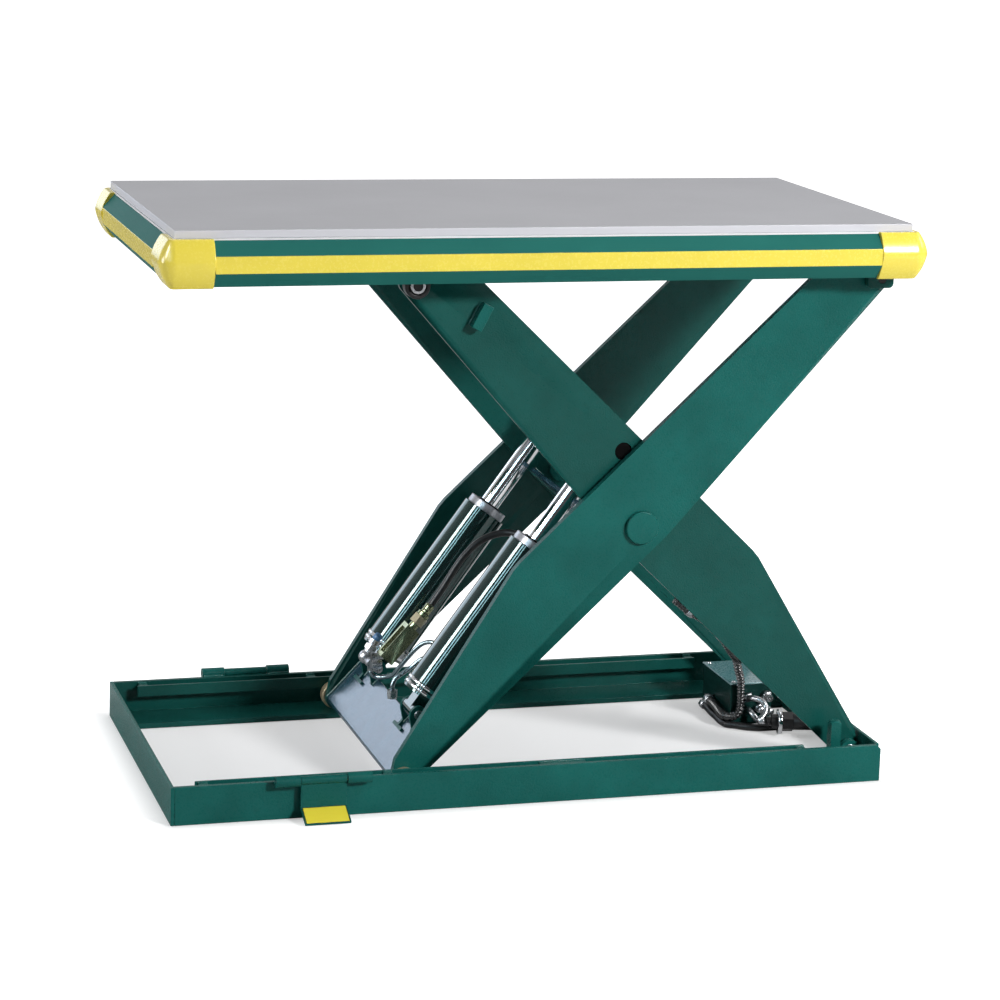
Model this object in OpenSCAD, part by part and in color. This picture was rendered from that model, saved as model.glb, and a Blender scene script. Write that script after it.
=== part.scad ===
// Scissor lift table: a fixed base, two crossed pairs of legs, two hydraulic
// cylinders and a flat platform with a padded edge. Millimetres, +Z up, +X along
// the table towards the hinged end, origin on the floor under the middle of the base.

/* [Platform] */
// Length of the platform plate along X
platform_l = 1219.2; // [1210:1:1230]
// Width of the platform plate along Y
platform_w = 609.6; // [606:1:620]
// Thickness of the platform plate
plate_t = 12.7; // [8:0.5:13]
// Height of the platform top as it is drawn
platform_h = 954; // [952:1:956]
// Depth of the rails under the plate
platform_rail_h = 64; // [63:0.1:64.2]

/* [Base] */
// Length of the base along X
base_l = 1219.2; // [1219:0.1:1230]
// Width of the base along Y
base_w = 609.6; // [606:0.5:612]
// Height of the base rails
base_h = 63.5; // [60:0.5:63.5]
// Thickness of the base side rails
rail_t = 9.5; // [8:0.1:9.5]
// Width of the flange that the lower rollers run on
flange_w = 88.9; // [80:0.5:92]
// Thickness of the end plates of the base
end_t = 6.35; // [4:0.1:6.5]

/* [Scissor] */
// Distance between the end pins of one leg
pin_span = 1145; // [1143:1:1147]
// X of the fixed hinges
hinge_x = 583; // [580:1:583]
// Height of the lower hinge and lower roller axles
hinge_z = 33; // [33:0.1:33.5]
// Distance from the upper hinge pin to the platform top
top_offset = 98; // [97.5:0.1:98.2]
// Thickness of a leg plate
leg_t = 12.7; // [10:0.1:12.7]
// Y of the outside face of an outer leg
outer_leg_y = 240; // [239:0.1:240.5]
// Y of the outside face of an inner leg
inner_leg_y = 221; // [220:0.1:221]
// Distance from the pin line to the upper edge, at mid leg
leg_crown = 105; // [98:1:106]
// Distance from the pin line to the lower edge, at mid leg
leg_belly = 43.5; // [38:0.5:44]

/* [Rollers] */
// Radius of a lower roller
base_roller_r = 23.2; // [20:0.1:23.2]
// Radius of an upper roller
top_roller_r = 21; // [18:0.1:21.2]
// Width of each roller
roller_w = 20; // [16:0.5:20]
// Radius of the roller shafts
shaft_r = 8; // [7:0.5:9]

/* [Cylinders] */
// Y of each cylinder's axis
cylinder_y = 140; // [130:1:150]
// Outside radius of a barrel
barrel_r = 40; // [37:0.5:41]
// Bore radius of a barrel
bore_r = 31.75; // [30:0.25:32]
// Radius of a piston rod
rod_r = 17.5; // [14:0.5:18]
// Length of a barrel from its lower pin to its upper end
barrel_end = 332; // [320:1:334]

/* [Bumper] */
// How far the edge bumper stands out from the platform
bumper_d = 23; // [18:1:26]
// Height of the bumper
bumper_h = 72; // [66:1:72]
// Length of a corner cap along each side
cap_l = 60; // [45:1:70]

/* [Maintenance props] */
// Width of a prop along X
prop_w = 76; // [60:1:90]
// Outside radius of the prop hinge barrels
prop_barrel_r = 9.5; // [8:0.5:9.5]

/* [Hidden] */

$fn = 48;
eps = 0.01;
run_fit = 0.05;        // radial clearance of a running fit
side_gap = 0.5;        // gap between faces that slide past each other

// Scissor geometry. A: lower hinge, C: upper hinge, B and D: roller axles.
hinge_rise = platform_h - top_offset - hinge_z;
theta = asin(hinge_rise / pin_span);
half = pin_span / 2;
run = pin_span * cos(theta);
roller_x = hinge_x - run;
centre = [hinge_x - run / 2, 0, hinge_z + hinge_rise / 2];
upper_z = hinge_z + hinge_rise;
lowered_slope = tan(2.36);   // the upper leg edge is level when the table is down
leg_bend = -190;             // where the upper edge turns down to the lower end
leg_toe_w = 33;              // upper edge above the lower pin
leg_toe_s = 16;
toe_r = 19.5;
head_r = 20;
centre_pin_r = 15;
bush_r = 19;
hinge_pin_r = 9.5;
top_pin_r = 8;
rod_hole_r = 15;

// Cylinder geometry. The lower pin is on the outer legs, the rod shaft on the inner.
lower_pin = [-169.5, 0, 120.7];
upper_pin = [155, 0, 569.5];
reach = norm(upper_pin - lower_pin);
lean = atan2(upper_pin[2] - lower_pin[2], upper_pin[0] - lower_pin[0]);
gland_h = 14;
rod_shaft_r = 12;
eye_r = 22;
eye_w = 36;
tongue_w = 50;

// Platform levels
plate_z = platform_h - plate_t;
platform_rail_z = plate_z - platform_rail_h;
skirt_t = 6.35;
bumper_top = plate_z - 3;
bumper_z = bumper_top - bumper_h;

// Base
web_y = base_w / 2 - rail_t;
guard_y = 270;
roller_y = outer_leg_y + 3.5;
inner_ear_y = 192.4;
ear_t = 12.7;

// Maintenance props
prop_x = -363;
prop_axis_y = base_w / 2 + prop_barrel_r;
prop_axis_z = base_h + 3;
prop_t = 5;
prop_drop = 47;
tab_out = 37;
tab_down = 15;

// Routes of the hoses and tubes, round numbers
valve_hose_route = [[-114.2, 10, 244.5], [-101, 11, 261], [-80, 14, 290], [-60, 17, 320],
  [-42, 19, 343], [-20, 20, 363], [6, 18, 376], [32, 10, 381], [52, -8, 377],
  [54, -32, 370], [36, -54, 365], [14, -66, 364], [7, -77, 363.8], [6.3, -87.2, 363.8]];
cross_tube_route = [[-204, 22, 143.7], [-203, 21, 138], [-196, 18, 133], [-184, 8, 135],
  [-173, -8, 143], [-165, -20, 159], [-155, -30, 176], [-144, -40, 194], [-132, -50, 208],
  [-120, -62, 213], [-111.5, -72, 208], [-109.7, -80, 203.4], [-109.7, -87.8, 203.4]];
near_tube_route = [[-187, -62, 133.2], [-187, -62, 140], [-182, -60, 151], [-168, -60, 161],
  [-154, -60, 170.5], [-141, -62, 182], [-130, -68, 189], [-121, -76, 190.6],
  [-119.1, -82, 190.4], [-119.1, -87.8, 190.4]];
conduit_route = [[430, 40, 152], [446, 28, 146], [462, 26, 132], [472, 26, 112],
  [479, 28, 88], [481, 28.5, 60], [480.5, 28, 37], [474, 29, 23], [457, 30, 21.5],
  [453, 50, 22], [454, 70, 24], [455, 90, 26], [455, 103, 27], [455, 113.7, 27]];
return_hose_route = [[456, 141.7, 9.3], [456, 130, 9], [455.5, 104, 7], [455, 80, 7],
  [453.5, 52, 7], [457, 31, 7], [470, 22, 7], [486, 9, 7], [506, 0, 7], [532, -1, 7],
  [560, 2, 7], [584, 3, 9], [594, 3, 9.5], [602.9, 3, 9.5]];
elbow_route = [[498, 30.8, 54], [498, 22, 56], [503, 10, 58], [512, 2, 55], [517, -4, 46],
  [513, -11, 36], [503, -15, 27], [504, -17.9, 25], [511.7, -19.9, 25]];
paint = [0.13, 0.38, 0.35];
steel = [0.78, 0.8, 0.83];
yellow = [0.95, 0.88, 0.36];

// ---- helpers ----

// Places children along the outer leg: X runs up the leg, Y across it, Z is -Y.
module on_outer_leg(y) {
  translate([centre[0], y, centre[2]])
    rotate([0, -theta, 0])
      rotate([90, 0, 0])
        children();
}

// The same for the inner leg, which leans the other way.
module on_inner_leg(y) {
  translate([centre[0], y, centre[2]])
    mirror([1, 0, 0])
      rotate([0, -theta, 0])
        rotate([90, 0, 0])
          children();
}

// Places children on a cylinder's axis: Z runs up the axis from the lower pin.
module on_cylinder(y) {
  translate([lower_pin[0], y, lower_pin[2]])
    rotate([0, 90 - lean, 0])
      children();
}

// A round bar along Y from y0 to y1.
module bar_y(x, z, r, y0, y1) {
  translate([x, y1, z])
    rotate([90, 0, 0])
      cylinder(r = r, h = y1 - y0);
}

// A round bar along X.
module bar_x(x0, x1, y, z, r) {
  translate([x0, y, z])
    rotate([0, 90, 0])
      cylinder(r = r, h = x1 - x0);
}

// A box from its lowest and highest corners.
module box(a, b) {
  translate(a)
    cube(b - a);
}

// Children at the front and mirrored at the rear.
module both_sides() {
  children();
  mirror([0, 1, 0])
    children();
}

// Smooth route through hand-placed points.
function route_at(p, i, t) = let (
    a = p[max(i - 1, 0)], b = p[i], c = p[i + 1], d = p[min(i + 2, len(p) - 1)])
  0.5 * (2 * b + (c - a) * t + (2 * a - 5 * b + 4 * c - d) * t * t
    + (3 * b - a - 3 * c + d) * t * t * t);
function smooth_route(p, n = 3) = concat(
  [for (i = [0:len(p) - 2]) for (k = [0:n - 1]) route_at(p, i, k / n)],
  [p[len(p) - 1]]);
function unit(v) = v / norm(v);
function along(q, i) = unit(q[min(i + 1, len(q) - 1)] - q[max(i - 1, 0)]);
function ring_side(q, i) = i == 0
  ? unit(cross(along(q, 0), abs(along(q, 0)[1]) < 0.9 ? [0, 1, 0] : [1, 0, 0]))
  : let (last = ring_side(q, i - 1), t = along(q, i)) unit(last - t * (last * t));

// A round hose or tube swept along a route.
module hose(route, r, sides = 10, n = 3) {
  q = smooth_route(route, n);
  rings = [for (i = [0:len(q) - 1]) let (u = ring_side(q, i), v = cross(along(q, i), u))
    for (k = [0:sides - 1])
      q[i] + r * (cos(k * 360 / sides) * u + sin(k * 360 / sides) * v)];
  last = len(q) - 1;
  polyhedron(
    points = rings,
    faces = concat(
      [[for (k = [0:sides - 1]) k]],
      [[for (k = [sides - 1:-1:0]) last * sides + k]],
      [for (i = [0:last - 1]) for (k = [0:sides - 1])
        [i * sides + k, (i + 1) * sides + k,
         (i + 1) * sides + (k + 1) % sides, i * sides + (k + 1) % sides]]));
}

// ---- base ----

// One side rail: an angle whose flange is the roller track.
module base_rail() {
  x0 = -base_l / 2 + end_t;
  x1 = base_l / 2;
  chamfer = 7;
  y1 = -base_w / 2;
  color(paint) difference() {
    union() {
      box([x0, y1, 0], [x1, y1 + rail_t, base_h]);
      box([x0, y1 + rail_t - eps, 0], [x1 - end_t, y1 + flange_w, rail_t]);
    }
    translate([x1 - chamfer, y1 - 1, base_h])
      rotate([0, 45, 0])
        cube([3 * chamfer, rail_t + 2, 3 * chamfer]);
  }
}
module front_base_rail() {
  base_rail();
}
module rear_base_rail() {
  mirror([0, 1, 0])
    base_rail();
}
module left_base_end() {
  color(paint)
    box([-base_l / 2, -base_w / 2, 0], [-base_l / 2 + end_t, base_w / 2, base_h]);
}
module right_base_end() {
  color(paint)
    box([base_l / 2 - end_t, -web_y, 0], [base_l / 2, web_y, base_h]);
}

// A bar that keeps the lower rollers on their track, held off the rail by spacers.
module roller_guard() {
  guard_t = 5;
  guard_low = 42;
  guard_top = 62;
  spacer_low = 50;
  spacer_top = 60;
  color(paint) {
    box([-565, -guard_y - guard_t, guard_low], [480, -guard_y, guard_top]);
    for (s = [[-560, -545], [-255, -240], [10, 90], [465, 480]])
      box([s[0], -web_y, spacer_low], [s[1], -guard_y - guard_t, spacer_top]);
  }
}
module front_roller_guard() {
  roller_guard();
}
module rear_roller_guard() {
  mirror([0, 1, 0])
    roller_guard();
}

// Two ears that hold a lower hinge pin, on a foot beside the rail flange.
module hinge_ear(y0) {
  ear_half = 19;
  difference() {
    union() {
      box([hinge_x - ear_half, y0, rail_t], [hinge_x + ear_half, y0 + ear_t, hinge_z]);
      intersection() {
        bar_y(hinge_x, hinge_z, ear_half, y0, y0 + ear_t);
        box([hinge_x - ear_half, y0, hinge_z - eps],
          [hinge_x + ear_half, y0 + ear_t, base_h]);
      }
    }
    bar_y(hinge_x, hinge_z, hinge_pin_r, y0 - 1, y0 + ear_t + 1);
  }
}
module hinge_bracket() {
  foot_y = -base_w / 2 + flange_w;
  color(paint) {
    hinge_ear(-inner_ear_y - ear_t);
    hinge_ear(-inner_leg_y - 2.5 - ear_t);
    box([545, foot_y, 0], [603.25, -inner_ear_y + 4, rail_t]);
  }
}
module front_hinge_bracket() {
  hinge_bracket();
}
module rear_hinge_bracket() {
  mirror([0, 1, 0])
    hinge_bracket();
}
module base_hinge_pins() {
  head_w = 1.8;
  color(steel) both_sides() {
    bar_y(hinge_x, hinge_z, hinge_pin_r, -238, -inner_ear_y + 3);
    bar_y(hinge_x, hinge_z, hinge_pin_r + 3, -238, -238 + head_w);
  }
}

// Short posts that the platform rests on when it is down.
module stop_posts() {
  post_w = 18;
  post_x = 532;
  post_y = -269;
  dome = 5;
  top = 93;
  color(paint) both_sides() {
    box([post_x, post_y, rail_t], [post_x + post_w, post_y + post_w, top]);
    translate([post_x + post_w / 2, post_y + post_w / 2, top - eps])
      intersection() {
        cylinder(r1 = post_w * 0.7, r2 = post_w * 0.42, h = dome);
        translate([-post_w / 2, -post_w / 2, 0])
          cube([post_w, post_w, dome]);
      }
  }
}

// Fixed barrels of the prop hinges, welded to the top edge of each rail.
module prop_hinge_barrels() {
  barrel_l = 40;
  pin_r = 4;
  inner = prop_w / 2 + 1;
  color(paint) both_sides()
    for (s = [-1, 1])
      difference() {
        x0 = prop_x + (s > 0 ? inner : -inner - barrel_l);
        union() {
          bar_x(x0, x0 + barrel_l, -prop_axis_y, prop_axis_z, prop_barrel_r);
          box([x0, -prop_axis_y, prop_axis_z - prop_barrel_r],
            [x0 + barrel_l, -base_w / 2, base_h]);
        }
        bar_x(x0 - 1, x0 + barrel_l + 1, -prop_axis_y, prop_axis_z, pin_r);
      }
}
module prop_hinge_pins() {
  reach_x = prop_w / 2 + 40;
  color(steel) both_sides()
    bar_x(prop_x - reach_x, prop_x + reach_x, -prop_axis_y, prop_axis_z, 4);
}

// A plate with an outward tab that swings up and over into the roller track.
module prop() {
  knuckle_r = 7;
  bend_z = prop_axis_z - prop_drop;
  half_w = prop_w / 2;
  difference() {
    union() {
      bar_x(prop_x - half_w, prop_x + half_w, -prop_axis_y, prop_axis_z, knuckle_r);
      translate([prop_x - half_w, 0, 0])
        rotate([90, 0, 90])
          linear_extrude(height = prop_w)
            polygon([
              [-prop_axis_y + prop_t / 2, prop_axis_z],
              [-prop_axis_y + prop_t / 2, bend_z - 1],
              [-prop_axis_y - tab_out, bend_z - tab_down - prop_t / 2],
              [-prop_axis_y - tab_out - 2, bend_z - tab_down + prop_t / 2 - 1],
              [-prop_axis_y - prop_t / 2, bend_z + 3],
              [-prop_axis_y - prop_t / 2, prop_axis_z]]);
    }
    bar_x(prop_x - half_w - 1, prop_x + half_w + 1, -prop_axis_y, prop_axis_z,
      4 + run_fit);
  }
}

// ---- junction box and lines at the hinged end ----

box_a = [465, 39, 2];
box_b = [545, 180, 77];
entry = [box_a[0], 122, 27];
module junction_box() {
  wall = 3;
  foot_x = 603.25;
  color(paint) {
    difference() {
      box(box_a, box_b);
      box(box_a + [wall, wall, wall], box_b + [-wall, -wall, 1]);
      translate([entry[0] - 1, entry[1], entry[2]])
        rotate([0, 90, 0])
          cylinder(r = 8, h = wall + 2);
    }
    box([box_b[0] - eps, 130, 0], [foot_x, 160, 6]);
    box([box_a[0], 130, 0], [box_b[0], 160, box_a[2] + eps]);
  }
}
module junction_box_lid() {
  over = 2;
  color([0.3, 0.55, 0.58])
    box([box_a[0] - over, box_a[1] - over, box_b[2]],
      [box_b[0] + over, box_b[1] + over, box_b[2] + 3]);
}
module box_screws() {
  inset = 8;
  color(steel)
    for (x = [box_a[0] + inset, box_b[0] - inset], y = [box_a[1] + inset, box_b[1] - inset])
      translate([x, y, box_b[2] + 3])
        cylinder(r1 = 4, r2 = 3, h = 2);
}
module cable_conduit() {
  color([0.06, 0.06, 0.06])
    hose(conduit_route, 7, 10, 2);
}
module return_hose() {
  color([0.06, 0.06, 0.06])
    hose(return_hose_route, 6.5, 10, 3);
}

// A hose coupling: tail, nose, flange, nut and dust cap, beside the box.
module base_coupling() {
  color([0.55, 0.55, 0.35])
    translate([512.4, -20.1, 25])
      rotate([0, 90, -14]) {
        cylinder(r = 9, h = 10);
        translate([0, 0, 9])
          cylinder(r = 13, h = 13);
        translate([0, 0, 21])
          cylinder(r = 22, h = 6);
        translate([0, 0, 26])
          cylinder(r = 18, h = 21, $fn = 6);
        translate([0, 0, 46])
          cylinder(r = 14, h = 40);
      }
}

// Hexagonal nut along Y.
module hex_y(x, z, r, y0, y1) {
  translate([x, y1, z])
    rotate([90, 0, 0])
      cylinder(r = r, h = y1 - y0, $fn = 6);
}

// Angle fittings of the conduit and the return hose, and the pipe fittings on
// the front of the box.
module box_fittings() {
  side = box_a[0];
  front = box_a[1];
  color(steel) {
    hex_y(455, 27, 9, 114, 130);
    bar_x(455, side + 3, entry[1], entry[2], 7.5);
    hex_y(456, 9.3, 8, 142, 156);
    bar_x(456, side, 149, 11, 5);
    hose(elbow_route, 5.5, 10, 3);
    for (f = [[498, 54, 8.5, 8], [532, 55, 10, 12]])
      hex_y(f[0], f[1], f[2], front - f[3], front);
    bar_y(532, 55, 7, front - 22, front - 12);
  }
}

// ---- legs ----

// Leg side view: X runs from the lower to the upper pin, Y to the upper edge.
function crown_at(s) = leg_crown - s * lowered_slope;
module leg_outline() {
  inside = 0.1;
  polygon([
    [-half, 0],
    [-half - 10.3, 16.4],
    [-half + leg_toe_s - 2, leg_toe_w - 1.3],
    [-half + leg_toe_s, leg_toe_w],
    [leg_bend - 8, crown_at(leg_bend) - 1.5],
    [leg_bend + 10, crown_at(leg_bend + 10)],
    [half - 10, crown_at(half - 10)],
    [half - 6, crown_at(half - 6) - 3],
    [half + head_r - inside, 3],
    [half, 0],
    [half + 0.8, inside - head_r],
    [60, -leg_belly + 1.4],
    [20, -leg_belly],
    [-20, -leg_belly + 1.4],
    [-half - 0.8, inside - toe_r]]);
  translate([-half, 0])
    circle(r = toe_r);
  translate([half, 0])
    circle(r = head_r);
}
module bore_2d(s, w, r) {
  translate([s, w])
    circle(r = r);
}
// Place of the rod shaft across the inner leg, in the leg's own directions.
rod_hole_s = (centre[0] - upper_pin[0]) * cos(theta) + (upper_pin[2] - centre[2]) * sin(theta);
rod_hole_w = (upper_pin[0] - centre[0]) * sin(theta) + (upper_pin[2] - centre[2]) * cos(theta);
module inner_leg() {
  color(paint)
    on_inner_leg(-inner_leg_y + leg_t)
      linear_extrude(height = leg_t)
        difference() {
          leg_outline();
          bore_2d(-half, 0, 13);
          bore_2d(0, 0, bush_r);
          bore_2d(half, 0, shaft_r);
          bore_2d(rod_hole_s, rod_hole_w, rod_hole_r);
        }
}
module front_inner_leg() {
  inner_leg();
}
module rear_inner_leg() {
  mirror([0, 1, 0])
    inner_leg();
}

// Plate that ties the two inner legs below the middle pins.
module inner_torsion_plate() {
  inside = inner_leg_y - leg_t;
  color(paint)
    on_inner_leg(inside)
      linear_extrude(height = 2 * inside)
        polygon([[40, -41], [-150, -26], [-150, -18], [40, -33]]);
}

// Flat bar on the outside of the front inner leg.
module leg_lug() {
  color(paint)
    translate([-97.6, -inner_leg_y, 800])
      rotate([0, 27, 0])
        translate([-9, -19, -22])
          cube([18, 19, 44]);
}
module bush(s_r, o_r, y0, y1, x, z) {
  difference() {
    bar_y(x, z, o_r, y0, y1);
    bar_y(x, z, s_r + run_fit, y0 - 1, y1 + 1);
  }
}
module inner_leg_bushes() {
  y0 = -inner_leg_y;
  y1 = -inner_leg_y + leg_t;
  color([0.7, 0.6, 0.35]) both_sides() {
    bush(hinge_pin_r, 13, y0, y1, hinge_x, hinge_z);
    bush(centre_pin_r, bush_r, y0, y1, centre[0], centre[2]);
  }
}
module platform_roller_shaft() {
  boss_r = 12;
  end = 267;
  color(steel) {
    bar_y(roller_x, upper_z, shaft_r, -end, end);
    both_sides()
      difference() {
        bar_y(roller_x, upper_z, boss_r, -roller_y + side_gap, -inner_leg_y);
        bar_y(roller_x, upper_z, shaft_r, -roller_y - 1, -inner_leg_y + 1);
      }
  }
}
module ring(x, z, y0) {
  ring_w = 1.5;
  difference() {
    bar_y(x, z, 12, y0 - ring_w, y0);
    bar_y(x, z, shaft_r, y0 - ring_w - 1, y0 + 1);
  }
}
module platform_roller_rings() {
  color(steel) both_sides()
    ring(roller_x, upper_z, -roller_y - roller_w - side_gap);
}

module outer_leg() {
  color(paint)
    on_outer_leg(-outer_leg_y + leg_t)
      linear_extrude(height = leg_t)
        difference() {
          leg_outline();
          bore_2d(-half, 0, shaft_r);
          bore_2d(0, 0, centre_pin_r);
          bore_2d(half, 0, 12);
        }
}
module front_outer_leg() {
  outer_leg();
}
module rear_outer_leg() {
  mirror([0, 1, 0])
    outer_leg();
}

// Sloping plate between the lower ends of the outer legs.
tray_low = 8;
tray_top = 16;
module cylinder_tray() {
  inside = outer_leg_y - leg_t;
  color(paint)
    on_outer_leg(inside)
      linear_extrude(height = 2 * inside)
        difference() {
          polygon([[-half - 15, tray_low], [-492, tray_low], [-492, tray_top],
            [-half - 10, tray_top]]);
          bore_2d(-half, 0, shaft_r);
        }
}

// Lower pin in the outer leg's own directions.
pin_s = (lower_pin[0] - centre[0]) * cos(theta) + (lower_pin[2] - centre[2]) * sin(theta);
pin_w = -(lower_pin[0] - centre[0]) * sin(theta) + (lower_pin[2] - centre[2]) * cos(theta);
ear_gap = tongue_w / 2 + side_gap;
clevis_t = 8;
module clevis_ear(y0, foot_s) {
  foot_h = 4.5;
  on_outer_leg(y0 + clevis_t)
    linear_extrude(height = clevis_t)
      difference() {
        union() {
          polygon([[foot_s, tray_top], [-492, tray_top], [-492, tray_low], [pin_s + 6, 12],
            [pin_s + 14, pin_w - 4], [pin_s - 5, pin_w + 14], [pin_s - 14, pin_w + 8],
            [-505, tray_top + foot_h], [foot_s, tray_top + foot_h]]);
          bore_2d(pin_s, pin_w, 14.5);
        }
        bore_2d(pin_s, pin_w, 8);
      }
}
// Cross bar at the low end of an ear's long foot.
module clevis_foot_bar(y) {
  bar_w = 48;
  on_outer_leg(y + bar_w / 2)
    linear_extrude(height = bar_w)
      polygon([[-522, tray_top], [-516, tray_top], [-516, tray_top + 4], [-522, tray_top + 4]]);
}
module cylinder_clevises() {
  color(paint)
    for (c = [-cylinder_y, cylinder_y]) {
      clevis_ear(c + ear_gap, -519);
      clevis_foot_bar(c + ear_gap + clevis_t / 2);
      clevis_ear(c - ear_gap - clevis_t, -508);
    }
}
module clevis_pins() {
  reach_y = ear_gap + clevis_t + 3;
  color(steel) both_sides()
    bar_y(lower_pin[0], lower_pin[2], 8, -cylinder_y - reach_y, -cylinder_y + reach_y);
}

// Stub pins at the crossing, with a proud round head outside.
module centre_pins() {
  head_h = 8;
  head_pin_r = 28;
  edge = 1.5;
  inside = -inner_leg_y + leg_t;
  color(paint) both_sides() {
    bar_y(centre[0], centre[2], centre_pin_r, -outer_leg_y, inside + 4);
    translate([centre[0], -outer_leg_y, centre[2]])
      rotate([90, 0, 0]) {
        cylinder(r = head_pin_r, h = head_h - edge);
        translate([0, 0, head_h - edge])
          cylinder(r1 = head_pin_r, r2 = head_pin_r - edge, h = edge);
      }
    bar_y(centre[0], centre[2], head_pin_r, -outer_leg_y + leg_t, -inner_leg_y - side_gap);
    bar_y(centre[0], centre[2], 21, inside + side_gap, inside + 4);
  }
}
module outer_leg_bushes() {
  color([0.7, 0.6, 0.35]) both_sides()
    bush(top_pin_r, 12, -outer_leg_y, -outer_leg_y + leg_t, hinge_x, upper_z);
}
module base_roller_shaft() {
  end = 267;
  boss_r = 12;
  color(steel) {
    bar_y(roller_x, hinge_z, shaft_r, -end, end);
    both_sides()
      difference() {
        bar_y(roller_x, hinge_z, boss_r, -roller_y + side_gap, -outer_leg_y);
        bar_y(roller_x, hinge_z, shaft_r, -roller_y - 1, -outer_leg_y + 1);
      }
  }
}
module base_roller_rings() {
  color(steel) both_sides()
    ring(roller_x, hinge_z, -roller_y - roller_w - side_gap);
}

// ---- rollers ----

module roller(r, z) {
  edge = 1.5;
  translate([roller_x, -roller_y, z])
    rotate([90, 0, 0])
      rotate_extrude()
        polygon([[shaft_r + run_fit, 0], [r - edge, 0], [r, edge], [r, roller_w - edge],
          [r - edge, roller_w], [r - 6, roller_w], [r - 7, roller_w - 2],
          [12, roller_w - 2], [11.5, roller_w], [shaft_r + run_fit, roller_w]]);
}
module front_base_roller() {
  color([0.72, 0.62, 0.45])
    roller(base_roller_r, hinge_z);
}
module rear_base_roller() {
  color([0.72, 0.62, 0.45]) mirror([0, 1, 0])
    roller(base_roller_r, hinge_z);
}
module front_platform_roller() {
  color(steel)
    roller(top_roller_r, upper_z);
}
module rear_platform_roller() {
  color(steel) mirror([0, 1, 0])
    roller(top_roller_r, upper_z);
}

// ---- platform ----

module platform_plate() {
  bevel = 1;
  x = platform_l / 2;
  y = platform_w / 2;
  color([0.68, 0.68, 0.71]) intersection() {
    box([-x, -y, plate_z], [x, y, platform_h]);
    translate([-x, 0, 0])
      rotate([90, 0, 90])
        linear_extrude(height = 2 * x)
          polygon([[-y, plate_z], [y, plate_z], [y, platform_h - bevel],
            [y - bevel, platform_h], [bevel - y, platform_h], [-y, platform_h - bevel]]);
    translate([0, y, 0])
      rotate([90, 0, 0])
        linear_extrude(height = 2 * y)
          polygon([[-x, plate_z], [x, plate_z], [x, platform_h - bevel],
            [x - bevel, platform_h], [bevel - x, platform_h], [-x, platform_h - bevel]]);
  }
}

// An angle under the plate whose flange is the track of the upper rollers.
module platform_rail() {
  x1 = platform_l / 2 - skirt_t;
  y1 = -platform_w / 2;
  color(paint) {
    box([-x1, y1, platform_rail_z], [x1, y1 + skirt_t, plate_z]);
    box([-x1, y1 + skirt_t - eps, platform_rail_z],
      [x1, -outer_leg_y - 3, platform_rail_z + skirt_t]);
  }
}
module front_platform_rail() {
  platform_rail();
}
module rear_platform_rail() {
  mirror([0, 1, 0])
    platform_rail();
}
module platform_end_rails() {
  x1 = platform_l / 2;
  color(paint)
    for (s = [0, 1])
      mirror([s, 0, 0])
        box([x1 - skirt_t, -platform_w / 2, platform_rail_z], [x1, platform_w / 2, plate_z]);
}

// Ears that carry the upper hinge pins, one on each side of every outer leg.
module top_ear(y0, top) {
  ear_half = 26;
  corner = 8;
  low = upper_z - 16;
  x1 = platform_l / 2 - skirt_t - 0.05;
  difference() {
    union() {
      box([hinge_x - ear_half, y0, low + corner], [x1, y0 + ear_t, top]);
      box([hinge_x - ear_half + corner, y0, low], [x1 - corner, y0 + ear_t, top]);
      bar_y(hinge_x - ear_half + corner, low + corner, corner, y0, y0 + ear_t);
      bar_y(x1 - corner, low + corner, corner, y0, y0 + ear_t);
    }
    bar_y(hinge_x, upper_z, top_pin_r, y0 - 1, y0 + ear_t + 1);
  }
}
module platform_hinge_ears() {
  color(paint) both_sides() {
    top_ear(-outer_leg_y - 3.2 - ear_t, platform_rail_z);
    top_ear(-inner_ear_y - ear_t, plate_z);
  }
}
module platform_hinge_pins() {
  color(steel) both_sides() {
    bar_y(hinge_x, upper_z, top_pin_r, -outer_leg_y - 3.2 - ear_t, -inner_ear_y + 2);
  }
}

// Bumper section: half an octagon standing out from the rail, with a flat
// recess in its middle face for the coloured band.
mid_low = bumper_z + 23;
mid_top = bumper_top - 22;
band_t = 1.5;
bumper_section = [[0, bumper_z], [3, bumper_z], [bumper_d, mid_low],
  [bumper_d - band_t, mid_low], [bumper_d - band_t, mid_top], [bumper_d, mid_top],
  [3, bumper_top], [0, bumper_top]];
band_section = [[bumper_d - band_t, mid_low], [bumper_d + 0.3, mid_low],
  [bumper_d + 0.3, mid_top], [bumper_d - band_t, mid_top]];

// Extrudes a section along a side of the platform, outward from its edge.
module edge_strip(section, length, edge) {
  translate([-length / 2, -edge, 0])
    rotate([90, 0, 90])
      linear_extrude(height = length)
        polygon([for (p = section) [-p[0], p[1]]]);
}
module four_strips(section) {
  for (a = [0, 180])
    rotate([0, 0, a])
      edge_strip(section, platform_l - 0.1 - 2 * cap_l, platform_w / 2);
  for (a = [90, 270])
    rotate([0, 0, a])
      edge_strip(section, platform_w - 0.1 - 2 * cap_l, platform_l / 2);
}
module edge_bumpers() {
  color([0.2, 0.45, 0.43])
    four_strips(bumper_section);
}
module bumper_bands() {
  color(yellow)
    four_strips(band_section);
}

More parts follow.
